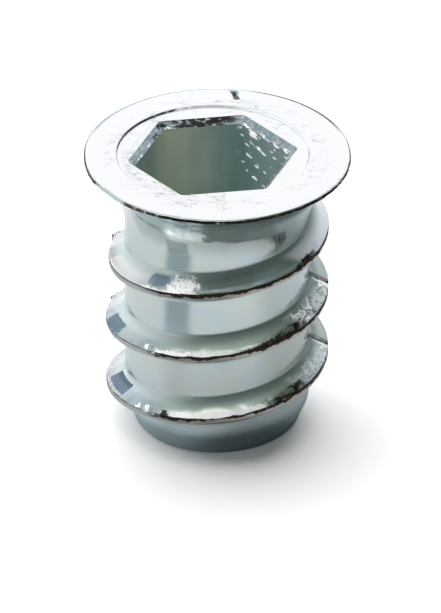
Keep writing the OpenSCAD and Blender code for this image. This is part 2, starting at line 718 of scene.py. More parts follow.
@dataclass(frozen=True)
class FlangeAndNose:
    """The turned ends of the body: the neck and flange above, the nose edge below."""

    sizes: InsertSizes
    floor_ring: float = 5.62 * MM
    gate_deg: float = 216.0
    gate_r: float = 7.79 * MM
    nick_deg: float = 81.0
    nick_low: float = 6.65 * MM
    nick_high: float = 7.6 * MM

    def scar(self, point: Vector) -> Vector:
        """Moves a point of the flange for the trimmed gate, the nick and the ragged rim.

        Args:
            point: A point of the smooth flange.

        Returns:
            The point with the marks of the casting.
        """
        s = self.sizes
        r = math.hypot(point.x, point.y)
        if point.z < s.length - 1.2 * MM or r < 6.2 * MM:
            return point
        theta = math.degrees(math.atan2(point.y, point.x)) % 360.0
        rim = smooth((r - 7.55 * MM) / (0.35 * MM))
        front = smooth(0.5 - 0.9 * math.sin(math.radians(theta)))
        ragged = noise.noise(Vector((theta * 0.21, 1.0, 0.0))) + 0.7 * noise.noise(
            Vector((theta * 0.65, 4.0, 0.0)))
        slow = noise.noise(Vector((theta * 0.03, 7.0, 0.0)))
        new_r = r + rim * MM * (0.05 * slow + 0.026 * ragged * (0.3 + front) - 0.015)
        swell = smooth(1.0 - abs(turn_gap(theta, 325.0)) / 40.0)
        new_r += rim * 0.06 * MM * swell
        droop = smooth(1.0 - abs(turn_gap(theta, 88.0)) / 48.0)
        new_r += rim * 0.09 * MM * droop
        z = point.z - 0.3 * max(0.0, r - 7.66 * MM) * droop
        z += rim * 0.03 * MM * front * noise.noise(Vector((theta * 0.4, 9.0, r * 400.0)))
        off_gate = abs(turn_gap(theta, self.gate_deg))
        if off_gate < 40.0:
            cut = self.gate_r + 0.05 * MM * noise.noise(Vector((theta * 0.5, 2.0, r * 700.0)))
            new_r = min(new_r, cut / math.cos(math.radians(off_gate)))
        aside = abs(turn_gap(theta, self.nick_deg + (r / MM - 7.1) * 2.0)) / 2.2
        along = abs(r - (self.nick_low + self.nick_high) / 2.0) * 2.0 / (
            self.nick_high - self.nick_low)
        if aside < 1.0 and along < 1.2 and point.z > s.length - 0.05 * MM:
            z -= 0.16 * MM * smooth(1.3 * (1.0 - aside)) * smooth(2.0 * (1.2 - along))
        return Vector((point.x * new_r / r, point.y * new_r / r, min(z, s.length)))

    def upper_rings(self, start_z: float) -> list[Ring]:
        """Rings from the body up the neck and over the rim to the recess."""
        s = self.sizes
        steps = 8
        heights = [start_z + (s.neck_top_z - start_z) * i / steps for i in range(steps + 1)]
        rings = [(s.body_radius(z), z) for z in heights]
        low = s.length - s.rim_t
        under = s.flange_r - s.rim_under
        edge = s.flange_r - s.rim_round
        for share in (0.4, 0.8):
            rings.append((s.neck_top_r + (under - s.neck_top_r) * share,
                          s.neck_top_z + (low - s.neck_top_z) * share))
        rings += arc(under, low + s.rim_under, s.rim_under, -60.0, 0.0, 3)
        rings += arc(edge, s.length - s.rim_round, s.rim_round, 6.0, 90.0, 7)
        rings += [(edge - 0.03 * MM, s.length), (edge - 0.1 * MM, s.length)]
        top = (7.62, 7.5, 7.35, 7.2, 7.05, 6.9, 6.75, 6.6, 6.4, 6.15)
        rings += [(r * MM, s.length) for r in top]
        return rings

    def recess_rings(self) -> list[Ring]:
        """Rings over the edge of the recess and down to its floor."""
        s = self.sizes
        top, floor = s.length, s.length - s.recess_depth
        return [
            (6.15 * MM, top), (5.95 * MM, top), (5.84 * MM, top),
            *arc(s.recess_r + 0.05 * MM, top - 0.05 * MM, 0.05 * MM, 90.0, 165.0, 3)[1:],
            (s.recess_r - 0.01 * MM, floor + 0.02 * MM),
            (s.recess_r - 0.04 * MM, floor), (self.floor_ring, floor),
        ]

    def nose_rings(self, start_z: float) -> list[Ring]:
        """Rings from the body down over the nose edge to the mouth of the bore."""
        s = self.sizes
        edge = s.nose_r - s.nose_edge
        rings = [(s.body_radius(start_z), start_z)]
        rings += arc(edge, s.nose_edge, s.nose_edge, 0.0, -90.0, 7)
        rings += [(edge - 0.05 * MM, 0.0), (4.4 * MM, 0.0), (4.16 * MM, 0.0)]
        return rings

    def build(self, body: bpy.types.Object, low: float, high: float) -> bpy.types.Object:
        """Carries the two open ends of the body round to the socket and the bore.

        Args:
            body: The body sheet.
            low: Height of its lower open end.
            high: Height of its upper open end.

        Returns:
            The same object, longer.
        """
        s = self.sizes
        with editing(body) as mesh:
            select_rim(mesh, lambda p: abs(p.z - high) < 0.01 * MM)
            pull_rings(self.upper_rings(high))
            bpy.ops.transform.translate(value=(s.socket_x, 0.0, 0.0))
            pull_rings(self.recess_rings(), centre=s.socket_x)
            bpy.ops.mesh.select_all(action="DESELECT")
            select_rim(mesh, lambda p: abs(p.z - low) < 0.01 * MM)
            pull_rings(self.nose_rings(low))
        for vert in body.data.vertices:
            vert.co = self.scar(vert.co)
        LOG.info("flange and nose: %d faces with the body", len(body.data.polygons))
        return body


# ------------------------------------------------------------- the socket


@dataclass(frozen=True)
class DriveSocket:
    """The hexagon socket for the key, with a bevelled mouth and a level floor."""

    sizes: InsertSizes
    across: float = 8.1 * MM
    depth: float = 6.0 * MM
    turned: float = 8.8
    mouth_w: float = 0.42 * MM
    mouth_h: float = 0.35 * MM
    corner: float = 0.22 * MM
    floor_r: float = 3.74 * MM
    cuts: int = 29

    @property
    def floor_z(self) -> float:
        """Height of the level floor."""
        return self.sizes.length - self.depth

    def build(self) -> bpy.types.Object:
        """Models the walls, the bevelled mouth and the ring of the floor."""
        s = self.sizes
        mouth_z = s.length - s.recess_depth
        wall_top = mouth_z - self.mouth_h
        bpy.ops.object.select_all(action="DESELECT")
        bpy.ops.mesh.primitive_cylinder_add(
            vertices=6, radius=self.across / math.sqrt(3.0), depth=wall_top - self.floor_z,
            end_fill_type="NOTHING", location=(s.socket_x, 0.0, (wall_top + self.floor_z) / 2.0),
            rotation=(0.0, 0.0, math.radians(self.turned + 30.0)),
        )
        obj = bpy.context.object
        obj.name = obj.data.name = "socket_sheet"
        bpy.ops.object.transform_apply(location=True, rotation=True, scale=True)
        with editing(obj) as mesh:
            bm = bmesh.from_edit_mesh(mesh)
            for edge in bm.edges:
                edge.select_set(not edge.is_boundary)
            bmesh.update_edit_mesh(mesh)
            bpy.ops.mesh.bevel(offset=self.corner, segments=4, affect="EDGES")
        with editing(obj) as mesh:
            bm = bmesh.from_edit_mesh(mesh)
            for edge in bm.edges:
                long_side = edge.is_boundary and edge.calc_length() > self.across / 4.0
                edge.select_set(long_side)
            bmesh.update_edit_mesh(mesh)
            bpy.ops.mesh.subdivide(number_cuts=self.cuts)
        with editing(obj) as mesh:
            bm = bmesh.from_edit_mesh(mesh)
            for edge in bm.edges:
                edge.select_set(abs(edge.verts[0].co.z - edge.verts[1].co.z) > self.depth / 2.0)
            bmesh.update_edit_mesh(mesh)
            bpy.ops.mesh.subdivide(number_cuts=11)
            bpy.ops.mesh.select_all(action="DESELECT")
            select_rim(mesh, lambda p: p.z > self.floor_z + self.depth / 2.0)
            centre = (s.socket_x, 0.0, 0.0)
            steps = 5
            for i in range(steps):
                low = self.across + 2.0 * self.mouth_w * i / steps
                high = self.across + 2.0 * self.mouth_w * (i + 1) / steps
                bpy.ops.mesh.extrude_region_move(
                    TRANSFORM_OT_translate={"value": (0.0, 0.0, self.mouth_h / steps)}
                )
                grow = high / low
                bpy.ops.transform.resize(value=(grow, grow, 1.0), center_override=centre)
            for gain in (1.006, 1.012):
                bpy.ops.mesh.extrude_region_move()
                bpy.ops.transform.resize(value=(gain, gain, 1.0), center_override=centre)
            bpy.ops.mesh.select_all(action="DESELECT")
            select_rim(mesh, lambda p: p.z < self.floor_z + 0.01 * MM)
            bpy.ops.mesh.extrude_region_move()
            bpy.ops.transform.resize(value=(0.985, 0.985, 1.0), center_override=centre)
        for vert in obj.data.vertices:
            vert.co = self.rough(vert.co)
        LOG.info("drive socket: %d faces", len(obj.data.polygons))
        return obj

    def rough(self, point: Vector) -> Vector:
        """Moves a point of the bevelled mouth, which is left as it was cast."""
        mouth_z = self.sizes.length - self.sizes.recess_depth
        depth = mouth_z - point.z
        if depth > 0.9 * MM or depth < 0.005 * MM:
            return point
        share = smooth(1.0 - (depth - 0.4 * MM) / (0.5 * MM)) if depth > 0.4 * MM else 1.0
        share *= smooth(depth / (0.05 * MM))
        at = point / MM
        lump = noise.noise(Vector((at.x * 1.3, at.y * 1.3, at.z * 1.5)))
        fine = noise.noise(Vector((at.x * 4.0 + 9.0, at.y * 4.0, at.z * 3.0)))
        out = share * MM * (0.07 * lump + 0.05 * fine)
        r = math.hypot(point.x, point.y)
        return Vector((point.x * (1.0 + out / r), point.y * (1.0 + out / r), point.z))


# --------------------------------------------------------------- the bore


@dataclass(frozen=True)
class TappedBore:
    """The fine tapped thread with a cone at each end."""

    sizes: InsertSizes
    socket: DriveSocket
    outer_r: float = 4.0 * MM
    pitch: float = 1.25 * MM
    steps: int = 72
    lead_h: float = 0.6 * MM

    def offsets(self) -> list[float]:
        """Heights of the profile's points over one pitch."""
        half = [0.05, 0.1, 0.2, 0.31, 0.4, 0.45, 0.54]
        up = [h * MM for h in half]
        return [-self.pitch / 2.0, *[-h for h in reversed(up)], 0.0, *up, self.pitch / 2.0]

    def cone_radius(self, z: float) -> float:
        """Radius that the two cones and the bore leave at a height."""
        s = self.sizes
        lead = self.outer_r - (self.outer_r - s.bore_r) * z / self.lead_h
        floor_z = self.socket.floor_z
        sink = s.bore_r + (self.socket.floor_r - s.bore_r) * (z - s.bore_high) / (
            floor_z - s.bore_high
        )
        return max(s.bore_r, lead, min(sink, self.socket.floor_r))

    def place(self, point: Vector) -> Vector:
        """Moves a point of the plain helical sheet onto the tapped wall."""
        theta = math.degrees(math.atan2(point.y, point.x)) % 360.0
        base = self.pitch * theta / 360.0
        w = abs(point.z - base - self.pitch * round((point.z - base) / self.pitch))
        depth = self.outer_r - self.sizes.bore_r
        cut = self.outer_r - positive(w - 0.075 * MM, 0.03 * MM) / math.tan(math.radians(30.0))
        runout = smooth((self.sizes.bore_high - point.z) / (1.2 * MM))
        thread_r = self.sizes.bore_r + max(0.0, cut - self.outer_r + depth) * runout
        r = max(self.cone_radius(point.z), thread_r)
        r = min(r, self.outer_r)
        angle = math.radians(theta)
        return Vector((r * math.cos(angle), r * math.sin(angle), point.z))

    def build(self) -> bpy.types.Object:
        """Models the wall of the bore from the nose face to the floor of the socket."""
        obj = screw_sheet(
            "bore_sheet", self.sizes.bore_r, self.offsets(), -2.0 * self.pitch, self.pitch,
            self.steps, 13, 1.0,
        )
        cut_level(obj, 0.0, keep_above=True)
        cut_level(obj, self.socket.floor_z, keep_above=False)
        for vert in obj.data.vertices:
            vert.co = self.place(vert.co)
        LOG.info("tapped bore: %d faces", len(obj.data.polygons))
        return obj


# ------------------------------------------------------------- the finish


@dataclass(frozen=True)
class Patch:
    """A patch of the outside, by angle round the axis and height over the nose face.

    Lengths are millimetres and angles are degrees from +X. Ragged says how strongly
    the edges fray, and at nought they stay soft. Depth is the share of its colour.
    """

    middle: float
    width: float
    z: float
    tall: float
    inner: float
    outer: float
    soft: float = 0.08
    ragged: float = 0.0
    depth: float = 0.93


@dataclass(frozen=True)
class ZincFinish:
    """Bright zinc plating on the casting, with stains, scratches, trimmed edges and painted
    highlights, reflections and shade.

    All places are millimetres of the part's own frame.
    """

    sizes: InsertSizes
    thread: OuterThread
    plate: Colour = (0.65, 0.735, 0.75, 1.0)
    cool: Colour = (0.59, 0.71, 0.76, 1.0)
    olive: Colour = (0.66, 0.74, 0.69, 1.0)
    top: Colour = (0.61, 0.658, 0.682, 1.0)
    nose: Colour = (0.64, 0.8, 0.85, 1.0)
    ledge: Colour = (0.82, 0.89, 0.93, 1.0)
    # lilac of the painted light on the end ledge
    lilac: Colour = (0.84, 0.88, 0.95, 1.0)
    # darker blue of the painted shade on the nose
    nose_shade: Colour = (0.36, 0.52, 0.57, 1.0)
    # near black of painted shade, painted dark reflections and grime
    shade_and_grime: Colour = (0.03, 0.026, 0.022, 1.0)
    rust: Colour = (0.36, 0.2, 0.09, 1.0)
    worn: Colour = (0.31, 0.28, 0.255, 1.0)
    beige: Colour = (0.8, 0.77, 0.72, 1.0)
    # white of the painted highlights
    bright: Colour = (0.985, 0.985, 0.98, 1.0)
    shade: Colour = (0.28, 0.37, 0.35, 1.0)
    # blue of the painted dark reflections on the turns
    dark_reflection_blue: Colour = (0.2, 0.3, 0.39, 1.0)
    cast_grey: Colour = (0.52, 0.59, 0.63, 1.0)
    bevel_grey: Colour = (0.4, 0.47, 0.52, 1.0)
    dim_grey: Colour = (0.34, 0.42, 0.45, 1.0)
    # blue of the painted dark reflection on the body
    core_reflection_blue: Colour = (0.26, 0.37, 0.4, 1.0)
    # white of the painted highlight on the band
    highlight_silver: Colour = (0.86, 0.91, 0.93, 1.0)
    wall_olive: Colour = (0.75, 0.78, 0.63, 1.0)
    wall_teal: Colour = (0.34, 0.48, 0.48, 1.0)
    # dark teal of painted shade, in the socket and behind the rim
    wall_shade: Colour = (0.24, 0.36, 0.34, 1.0)
    moss: Colour = (0.55, 0.64, 0.53, 1.0)
    # pale grey of the painted light on the recess wall
    lit_grey: Colour = (0.74, 0.77, 0.79, 1.0)
    line_grey: Colour = (0.28, 0.33, 0.35, 1.0)
    # blue patches on the turns: painted dark reflections
    dark_reflections: tuple[Patch, ...] = (
        Patch(198.0, 22.0, 3.2, 1.8, 5.72, 6.5, 0.09, 1.1),
        Patch(197.0, 18.0, 7.4, 1.4, 6.0, 6.7, 0.2, 1.1),
        Patch(235.7, 13.0, 12.2, 1.7, 5.72, 6.45, 0.32, 0.3, 0.68),
    )
    # painted dark reflection on the body under the neck
    core_dark_reflection: Patch = Patch(245.3, 14.0, 14.6, 0.85, 5.3, 6.3, 0.15)
    # painted highlight round the lowest blue patch
    outline: Patch = Patch(198.0, 24.0, 3.2, 2.0, 5.62, 6.6, 0.05)
    # painted shade on the front of the highest turn's flank
    flank_shade: Patch = Patch(275.0, 34.0, 12.7, 2.4, 5.6, 6.75, 0.5)
    # painted shade on the left of the band under the flange
    band_shade: Patch = Patch(227.0, 26.0, 15.5, 2.2, 5.6, 7.0, 0.45)
    # painted highlight on the band under the flange
    band_glint: Patch = Patch(248.5, 9.5, 15.85, 1.5, 5.75, 7.0, 0.75)
    # painted highlight on the left of the highest turn's flank
    clean: Patch = Patch(212.0, 42.0, 11.9, 1.9, 5.8, 6.75, 0.25, 1.1)
    # painted highlight, glowing white
    glint: Patch = Patch(251.0, 16.0, 12.45, 1.7, 5.65, 6.8, 0.5, 2.0)
    scale: Patch = Patch(324.0, 8.0, 13.2, 1.0, 6.45, 6.95, 0.3, 1.2)

    def material(self) -> bpy.types.Material:
        """Makes the material of the whole casting."""
        graph = Graph.for_material("zinc_cast")
        skin = Skin(graph, self)
        for paint in (skin.paint_body, skin.paint_ledges, skin.paint_patches, skin.paint_feet,
                      skin.paint_crest, skin.paint_rim, skin.paint_mouth, skin.paint_socket,
                      skin.paint_top):
            paint()
        bsdf = graph.tree.nodes["Principled BSDF"]
        bsdf.inputs["Emission Strength"].default_value = 1.0
        sockets = {
            "Base Color": skin.tint, "Roughness": skin.roughness(), "Metallic": skin.metal(),
            "Emission Color": skin.glow(), "Normal": skin.relief(),
        }
        for name, value in sockets.items():
            graph.tree.links.new(value, bsdf.inputs[name])
        return graph.owner


class Skin:
    """The surface of the casting while its finish is laid on.

    Lengths are millimetres of the part's own frame and angles are degrees from +X.
    Across is the height over the middle of the nearest turn of the ridge, and turn is
    that turn's number, from nought at the bottom. Zones are 1 inside and 0 outside.
    """

    def __init__(self, graph: Graph, look: ZincFinish) -> None:
        """Reads a point's place and facing, and makes the noises."""
        self.graph, self.look = graph, look
        where = graph.node("ShaderNodeTexCoord").outputs["Object"]
        self.place = place = graph.sock(graph.node(
            "ShaderNodeVectorMath", {"operation": "SCALE"}, {0: where, "Scale": 1.0 / MM}))
        split = graph.node("ShaderNodeSeparateXYZ", inputs={0: place})
        x, y, z = (graph.sock(split, axis) for axis in "XYZ")
        self.x, self.y, self.z, self.r = x, y, z, (x * x + y * y) ** 0.5
        self.turned = y.join("ARCTAN2", x) * PER_RADIAN
        form = graph.node("ShaderNodeNewGeometry")
        facing = graph.node("ShaderNodeSeparateXYZ", inputs={0: form.outputs["Normal"]})
        self.upward = graph.sock(facing, "Z")
        self.length = look.sizes.length / MM
        pitch = look.thread.pitch / MM
        lap = (z - look.thread.first_z / MM) / pitch - (self.turned + 90.0) / 360.0 + 0.5
        self.across = across = (lap.join("FRACT") - 0.5) * pitch
        self.turn = lap - lap.join("FRACT")
        self.broad = graph.noise(place, 0.22, 1.0)
        self.stain = graph.noise(place, 0.55, 3.0, 0.6)
        self.fleck = graph.noise(place, 3.2, 3.0, 0.65)
        self.grain = graph.noise(place, 8.0, 2.0, 0.6)
        self.streak = self.lumps(x * 0.7, y * 0.7, across * 9.0, 1.6, 3.0, 0.65)
        self.bits = self.lumps(x * 1.3, y * 1.3, across * 2.0, 1.55, 2.0, 0.6)
        self.upright = self.lumps(x * 1.6, y * 1.6, z * 0.22, 1.0, 3.0, 0.55)
        self.tint = graph.mix(self.zone(broad=(0.42, 0.66)), look.plate, look.cool)
        self.find_zones()
        self.find_marks()
        self.find_edges()

    def lumps(self, x: Any, y: Any, z: Any, scale: float, detail: float, rough: float) -> Sock:
        """Makes noise that is stretched by the place given to it.

        Args:
            x, y, z: The place, in any scale of its own.
            scale: Lumps in one unit of that place.
            detail: Octaves of finer lumps.
            rough: Share that each octave keeps of the one before it.

        Returns:
            The noise, from 0 to 1.
        """
        return self.graph.noise(self.graph.vector(x, y, z), scale, detail, rough)

    def zone(self, **edges: tuple[float, ...]) -> Sock:
        """Makes a zone out of limits on named values.

        Args:
            edges: By the value's name, where it is 0 and where it is 1, or the low end,
                the high end and the softness of a window. "below" counts down from
                the top of the flange, and takes no window.

        Returns:
            1 where every limit holds and 0 outside.
        """
        shares = []
        for name, limits in edges.items():
            if name == "below":
                name, limits = "z", tuple(self.length - limit for limit in limits)
            make = self.graph.step if len(limits) == 2 else self.graph.window
            shares.append(make(getattr(self, name), *limits))
        return reduce(mul, shares)

    def line(self, value: Sock, middle: float, inner: float, outer: float) -> Sock:
        """Draws thin lines where a value is near a middle one.

        Args:
            value: The value.
            middle: What it is on the line.
            inner: Distance up to which the line is full.
            outer: Distance past which there is none.

        Returns:
            1 on the line and 0 outside.
        """
        return 1 - self.graph.step(abs(value - middle), inner, outer)

    def patch(self, patch: Patch, fray: Sock | None = None) -> Sock:
        """Makes the zone of a patch.

        Args:
            patch: The patch.
            fray: Noise that frays its edges. The flecks do if none is given.

        Returns:
            1 inside the patch and 0 outside.
        """
        step, half = self.graph.step, patch.width / 2.0
        gap = abs((self.turned - patch.middle + 540.0).join("FLOORED_MODULO", 360.0) - 180.0)
        edge = patch.soft * 57.3 / patch.outer
        share = 1 - step(gap, half - edge, half + edge)
        share = share * self.zone(
            r=(patch.inner, patch.outer, patch.soft),
            z=(patch.z - patch.tall / 2, patch.z + patch.tall / 2, patch.soft),
        )
        if patch.ragged <= 0.0:
            return share
        noise_part = ((fray or self.fleck) - 0.5) * patch.ragged
        return step(share + noise_part, 0.3, 0.7) * step(share, 0.0, 0.2)

    def paint(self, share: Any, colour: Any) -> None:
        """Lays a colour over the tint, by a share from 0 to 1."""
        self.tint = self.graph.mix(share, self.tint, colour)

    def find_zones(self) -> None:
        """Finds the zones of the plain forms."""
        zone, length, nose_h = self.zone, self.length, self.look.sizes.nose_h / MM
        socket_low = self.look.sizes.bore_high / MM
        self.outside = outside = zone(r=(4.95, 5.0), below=(0.6, 1.2))
        self.right = zone(x=(0.0, 1.0))
        self.in_socket = zone(r=(5.4, 5.3), upward=(0.6, 0.3), z=(socket_low - 0.5, socket_low))
        self.on_top = zone(below=(0.2, 0.12), upward=(0.9, 0.98))
        self.on_mouth = zone(upward=(0.3, 0.93, 0.04), r=(6.2, 6.0), below=(0.6, 0.5))
        self.on_nose = outside * zone(z=(nose_h + 0.9, nose_h - 0.1), r=(5.8, 5.6))
        self.on_ridge = outside * zone(r=(6.15, 6.25), z=(15.2, 14.9))
        self.on_crest = self.on_ridge * zone(upward=(0.45, 0.25), across=(-0.25, -0.22))
        self.on_flank = outside * zone(upward=(0.35, 0.8))
        # the ledges next to the parting plane, wider at the right
        reach = 2.0 + self.right * 1.8
        near_plane = 1 - self.graph.step(abs(self.y), reach, reach + 0.6)
        ledges = outside * near_plane * zone(r=(5.65, 5.85), upward=(0.3, 0.5))
        self.on_ledge = ledges * zone(z=(11.3, 10.7))
        # the end ledge at the right, which takes glowing painted light
        self.lit_end_ledge = ledges * zone(z=(10.7, 11.3)) * self.right
        self.rear = zone(y=(-0.2, 0.2)) * self.right
        # the feet of the upper flanks, which take painted shade, and those at the left, where the
        # plating is matt
        self.foot = outside * zone(
            across=(0.42, 1.02, 0.14), r=(6.3, 5.7), z=(14.8, 14.2), x=(-5.0, -0.5))
        self.low_foot = outside * zone(
            across=(0.5, 1.05, 0.1), r=(6.2, 5.8), x=(-0.5, -4.0), z=(14.8, 14.2))

    def find_marks(self) -> None:
        """Finds the marks on the ledges, the highest turn, the neck and the recess."""
        graph, zone, x, y, z, fleck = self.graph, self.zone, self.x, self.y, self.z, self.fleck
        # curls on the ledges; the pale ones are glowing painted highlights
        curl = self.lumps(x * 1.1, y * 0.9, z * 1.1, 1.0, 3.0, 0.6)
        where = self.on_ledge * self.right * (1 - self.rear) * (0.4 + self.turn * 0.6)
        self.dark_curl = self.line(curl, 0.5, 0.01, 0.036) * where
        self.curl_highlight = self.line(curl, 0.57, 0.014, 0.04) * where
        # painted shade along the step of the parting line, and a glowing painted highlight under
        # it
        seams = zone(x=(5.0, 5.4)) * self.on_ledge
        self.seam, self.under_seam = (
            seams * zone(y=limits) for limits in ((-0.15, 0.06, 0.03), (-0.38, -0.2, 0.04)))
        # painted highlight on the flank of the highest turn, glowing white
        glint = self.patch(self.look.glint, self.bits) * zone(upward=(0.5, 0.7))
        self.glint = glint * graph.step(self.grain + fleck, 0.76, 0.86)
        # painted highlight on the band under the flange, glowing faintly
        self.gleam = self.patch(self.look.band_glint) * zone(streak=(0.15, 0.5))
        # painted dark reflections on the turns
        self.dark_reflections = [self.patch(patch) for patch in self.look.dark_reflections]
        # the wall of the recess at the back, with painted shade at its left and glowing painted
        # light at its right
        self.step_wall = zone(
            r=(5.5, 6.1, 0.1), upward=(0.97, 0.9), below=(0.14, 0.1), y=(0.0, 1.0))
        self.lit_share = graph.step(x + (fleck - 0.5) * 7.0, -3.4, -1.6)
        # chips on the front of the bevel, painted white and glowing as highlights
        glinting_chips = graph.step(graph.noise(self.place, 2.2, 2.0, 0.6), 0.52, 0.58)
        self.glinting_chips = self.on_mouth * zone(below=(0.32, 0.42), y=(-0.5, 0.5)) * glinting_chips
        # glowing painted highlight specks on the right hand walls of the socket
        highlight_specks = self.lumps((x - y) * 0.5, z * 1.5 + x * 0.3, 2.0, 2.1, 1.0, 0.5)
        level = 0.64 - zone(below=(2.2, 0.4)) * 0.08
        self.highlight_specks = graph.step(highlight_specks, level, level + 0.03) * zone(
            x=(1.0, 1.8), below=(4.2, 3.8))

    def find_edges(self) -> None:
        """Finds the marks of the crest's upper edge: its dark line, its scale and the painted
        highlight on its lip.
        """
        graph, zone, turned, turn = self.graph, self.zone, self.turned, self.turn
        step, across, on_ridge = graph.step, self.across, self.on_ridge
        late = turn.join("GREATER_THAN", 1.5)
        wander = self.lumps(self.x, self.y, self.z * 0.3, 1.6, 4.0, 0.65)
        low = 0.05 - step(wander, 0.3, 0.75) * 0.22
        worn = graph.clamped(zone(x=(-4.8, -3.2)) + zone(across=(0.1, 0.14)) * 0.75)
        self.edge_line = step(across, low - 0.02, low + 0.02) * on_ridge * worn * zone(
            across=(0.34, 0.3), upward=(0.7, 0.55))
        # scale of the casting skin past the crest, on the right of each turn
        start = turn * -18.0 - 64.0
        on_right = step(turned, start - 4.0, start + 8.0)
        on_right = on_right * (1 - step(turned, -36.0 + late * 6.0, -20.0 - late * 6.0))
        swell = step(turned, -78.0 - turn * 4.0 + late * 38.0, -44.0 + late * 6.0)
        reach = 0.2 + swell * (0.04 + self.fleck * 0.42) * (1 - late * 0.45)
        hatch = self.lumps(across * 5.0, turned * 0.06, 0.0, 1.3, 2.0, 0.6)
        hatched = zone(turned=(-60.0, -46.0)) * (1 - late * 0.8) * step(hatch, 0.48, 0.54)
        char = graph.window(across, 0.08, reach, 0.03) * on_ridge * on_right
        char = char * zone(fleck=(0.3, 0.38)) * (1 - hatched * 0.85)
        self.char = graph.clamped(char + self.patch(self.look.scale) * self.on_flank * 0.7)
        self.lit_clear_ledge = self.lit_end_ledge * (1 - self.char)
        # the painted highlight along the lip at the front, with a torn edge at its left end
        torn = graph.window(turned, turn * 9.0 - 141.0, turn * -8.0 - 113.0, 1.5)
        torn = torn * on_ridge * (1 - late) * zone(across=(0.06, 0.36, 0.02))
        bare = zone(turned=(-121.0, -112.5, 1.0)) * (1 - turn * 0.5)
        bits = self.bits - bare * 0.17
        self.torn_dark = torn * step(bits, 0.36, 0.33)
        start, end = turn * -9.0 - 112.0, turn * -18.0 - 66.0
        lip = step(turned, start - 5.0, start) * (1 - step(turned, end, end + 5.0))
        reach = 0.17 + self.lumps(self.x, self.y, self.z * 0.2, 2.6, 3.0, 0.6) * 0.35
        lip = lip * on_ridge * zone(upward=(0.35, 0.5))
        lip = lip * graph.window(across, 0.1, reach - turn * 0.05, 0.012)
        lip = graph.clamped(lip + torn * step(bits, 0.55, 0.59))
        self.lip = lip * step(graph.noise(self.place, 2.7, 2.0, 0.6), 0.3, 0.34)

    def paint_body(self) -> None:
        """Lays the tints of the plating on the body, the top and the nose, with painted shade on
        the right of the nose.
        """
        look, graph = self.look, self.graph
        self.paint(self.zone(stain=(0.36, 0.62)) * 0.8, look.olive)
        self.paint(self.on_flank * self.zone(z=(12.6, 8.6), x=(-5.0, -1.5)) * 0.75, look.moss)
        sheen = 1 - graph.noise(self.place, 0.35, 3.0, 0.6) * 0.12
        self.paint(self.on_top, graph.mix(sheen, look.cast_grey, look.top))
        # the nose, with painted shade on its right
        tone = graph.mix(self.zone(x=(-4.5, 3.5)), look.nose, look.nose_shade)
        self.paint(self.on_nose * 0.9, tone)

    def paint_ledges(self) -> None:
        """Colours the ledges, with their curls and the step of the parting line, painted light on
        the end ledge and curls, and painted shade and highlight at the step.
        """
        look, clamped = self.look, self.graph.clamped
        front = 1 - self.rear
        self.paint(self.on_ledge * self.zone(fleck=(0.3, 0.55)) * front * 0.9, look.ledge)
        self.paint(self.on_ledge * self.rear * 0.8, look.dim_grey)
        # glowing painted light on the end ledge
        self.paint(self.lit_end_ledge, look.lilac)
        self.paint(clamped(self.dark_curl * 0.85), look.line_grey)
        # glowing painted highlights on the curls
        self.paint(clamped(self.curl_highlight), look.bright)
        # painted highlight under the step of the parting line, and painted shade along it
        self.paint(self.under_seam * 0.9, look.bright)
        self.paint(self.seam * 0.9, look.shade_and_grime)

    def paint_patches(self) -> None:
        """Lays the broad patches of painted shade and painted highlight on the highest turn and
        the neck, and colours the crest.
        """
        look = self.look
        # painted shade on the front of the highest turn's flank
        self.paint(self.patch(look.flank_shade) * self.on_flank * 0.4, look.shade)
        # painted highlight on the left of that flank
        self.paint(self.patch(look.clean) * self.on_flank * 0.85, look.bright)
        # painted shade on the left of the band under the flange
        self.paint(self.patch(look.band_shade) * 0.75, look.dim_grey)
        # painted highlights: the glint on the flank and the gleam on the band
        self.paint(self.glint, look.bright)
        self.paint(self.gleam * 0.8, look.highlight_silver)
        tilt, mix, step = self.across + (self.streak - 0.5) * 0.3, self.graph.mix, self.graph.step
        crest = mix(step(tilt, -0.26, -0.12), look.beige, look.worn)
        crest = mix(step(tilt, 0.0, 0.16), crest, look.shade_and_grime)
        crest = mix(self.zone(x=(-0.5, 3.0)) * 0.8, crest, look.beige)
        crest = mix(self.zone(x=(-2.2, -4.4)) * 0.55, crest, look.plate)
        self.paint(self.on_crest * 0.92, crest)

    def paint_feet(self) -> None:
        """Lays painted shade on the feet of the ridge, matt plating on those at the left, and the
        painted dark reflections with a painted highlight round one.
        """
        look, fleck = self.look, self.zone(fleck=(0.22, 0.36))
        # painted shade on the feet of the ridge
        self.paint(self.foot * 0.8, look.shade)
        self.paint(self.low_foot * 0.8, look.plate)
        # painted dark reflection on the body under the neck
        self.paint(self.patch(look.core_dark_reflection) * 0.75, look.core_reflection_blue)
        # painted highlight round the lowest painted dark reflection
        outline = self.patch(look.outline) * self.zone(fleck=(0.48, 0.54))
        self.paint(outline * self.on_flank, look.bright)
        # the painted dark reflections on the turns
        for share, patch in zip(self.dark_reflections, look.dark_reflections):
            self.paint(share * fleck * patch.depth, look.dark_reflection_blue)

    def paint_crest(self) -> None:
        """Blackens the edge of the crest and paints a highlight on its lip."""
        look = self.look
        line = self.graph.mix(self.zone(grain=(0.6, 0.7)), look.shade_and_grime, look.rust)
        self.paint(self.edge_line * 0.95, line)
        self.paint(self.char * 0.96, line)
        self.paint(self.torn_dark * 0.95, look.shade_and_grime)
        # painted highlight on the lip
        self.paint(self.lip, look.bright)

    def paint_rim(self) -> None:
        """Oxidises the flash of the rim, paints a dark reflection along its edge and paints shade
        in the nick.
        """
        look, graph = self.look, self.graph
        tone = graph.mix(self.zone(grain=(0.58, 0.7)), look.shade_and_grime, look.rust)
        rim = self.zone(r=(7.86, 7.95), upward=(0.9, 0.6), below=(0.4, 0.25))
        self.paint(rim * self.zone(fleck=(0.3, 0.45)), tone)
